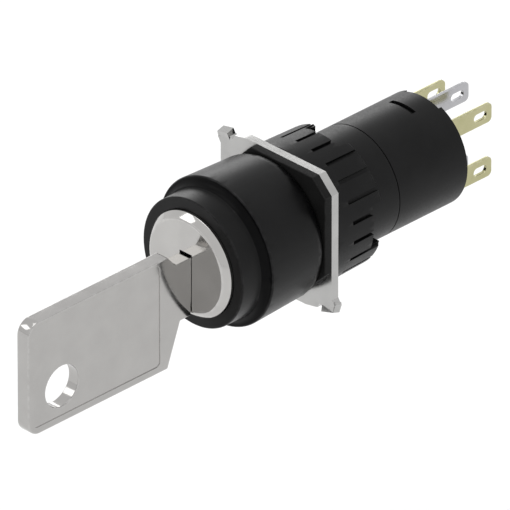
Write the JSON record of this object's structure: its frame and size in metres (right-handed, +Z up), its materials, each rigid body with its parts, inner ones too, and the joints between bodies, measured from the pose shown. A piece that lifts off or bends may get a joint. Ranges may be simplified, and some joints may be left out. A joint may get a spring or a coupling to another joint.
{
  "type": "selector key switch",
  "caption": "Round panel-mounted key-operated selector switch with removable flat key, locking plate, ring nut and solder terminals.",
  "frame": {"origin": "on the switch axis, at the panel's front face, which is the rear face of the gasket behind the bezel", "axes": "+Y runs along the switch axis from the key to the terminals, +Z is up with the key hanging down at rest, +X is to the right seen from the front"},
  "size_m": [0.0212, 0.0804, 0.0234],
  "materials": {
    "key_steel": "satin nickel-plated key",
    "satin_zinc": "satin nickel-plated die casting",
    "brass": "bare",
    "spring_steel": "bright spring steel",
    "die_cast": "as cast",
    "rubber": "matt",
    "black_bezel": "fine satin moulding",
    "black_body": "fine satin moulding",
    "plate_steel": "zinc-plated pressing",
    "white_nylon": "natural nylon",
    "gold_plate": "pale gold flash",
    "silver_plate": "satin silver plate",
    "copper_alloy": "spring bronze"
  },
  "bodies": {
    "switch_body": {"front_bezel": "black_bezel", "lock_barrel": "die_cast", "actuator_housing": "black_body", "panel_gasket": "rubber", "contact_block": "black_body", "terminal_base": "black_body", "break_terminal_upper": "gold_plate", "common_terminal_upper": "silver_plate", "make_terminal_upper": "gold_plate", "break_terminal_lower": "gold_plate", "common_terminal_lower": "silver_plate", "make_terminal_lower": "gold_plate", "fixed_contact_tips": "silver_plate", "plunger_spring_upper": "spring_steel", "plunger_spring_lower": "spring_steel"},
    "lock_rotor": {"lock_plug": "satin_zinc", "wafers": "brass", "wafer_springs": "spring_steel", "plug_o_ring": "rubber", "plug_clip": "spring_steel", "cam": "white_nylon", "cam_screw": "spring_steel"},
    "key": {"key": "key_steel"},
    "plunger_upper": {"plunger_upper": "white_nylon"},
    "plunger_lower": {"plunger_lower": "white_nylon"},
    "rocker_upper": {"rocker_upper": "copper_alloy", "moving_tips_upper": "silver_plate"},
    "rocker_lower": {"rocker_lower": "copper_alloy", "moving_tips_lower": "silver_plate"},
    "locking_plate": {"locking_plate": "plate_steel"},
    "ring_nut": {"ring_nut": "black_body"}
  },
  "joints": [
    {"name": "key_turn", "type": "hinge", "parent": "switch_body", "child": "lock_rotor", "pos_m": [0, 0, 0], "axis": [0, 1, 0], "range_deg": [0, 90]},
    {"name": "key_withdraw", "type": "slide", "parent": "lock_rotor", "child": "key", "axis": [0, -1, 0], "range_m": [0, 0.025]},
    {"name": "plunger_upper_push", "type": "slide", "parent": "switch_body", "child": "plunger_upper", "axis": [0, 1, 0], "range_m": [0, 0.001], "deforming": ["plunger_spring_upper"]},
    {"name": "plunger_lower_push", "type": "slide", "parent": "switch_body", "child": "plunger_lower", "axis": [0, 1, 0], "range_m": [0, 0.001], "deforming": ["plunger_spring_lower"]},
    {"name": "rocker_upper_tilt", "type": "hinge", "parent": "switch_body", "child": "rocker_upper", "pos_m": [0, 0.0193, 0], "axis": [0, 0, 1], "range_deg": [0, 23.54]},
    {"name": "rocker_lower_tilt", "type": "hinge", "parent": "switch_body", "child": "rocker_lower", "pos_m": [0, 0.0193, 0], "axis": [0, 0, -1], "range_deg": [0, 23.54]},
    {"name": "plate_slide", "type": "slide", "parent": "switch_body", "child": "locking_plate", "axis": [0, 1, 0], "range_m": [0, 0.006]},
    {"name": "nut_turn", "type": "hinge", "parent": "locking_plate", "child": "ring_nut", "pos_m": [0, 0, 0], "axis": [0, 1, 0], "range_deg": [0, 2160]}
  ],
  "couplings": [
    {"joint": "plunger_upper_push", "follows": "key_turn", "m_per_rad": 0.00063662},
    {"joint": "plunger_lower_push", "follows": "key_turn", "m_per_rad": 0.00063662},
    {"joint": "rocker_upper_tilt", "follows": "key_turn", "ratio": 0.26152},
    {"joint": "rocker_lower_tilt", "follows": "key_turn", "ratio": 0.26152},
    {"joint": "plate_slide", "follows": "nut_turn", "m_per_rad": 0.00015915}
  ]
}
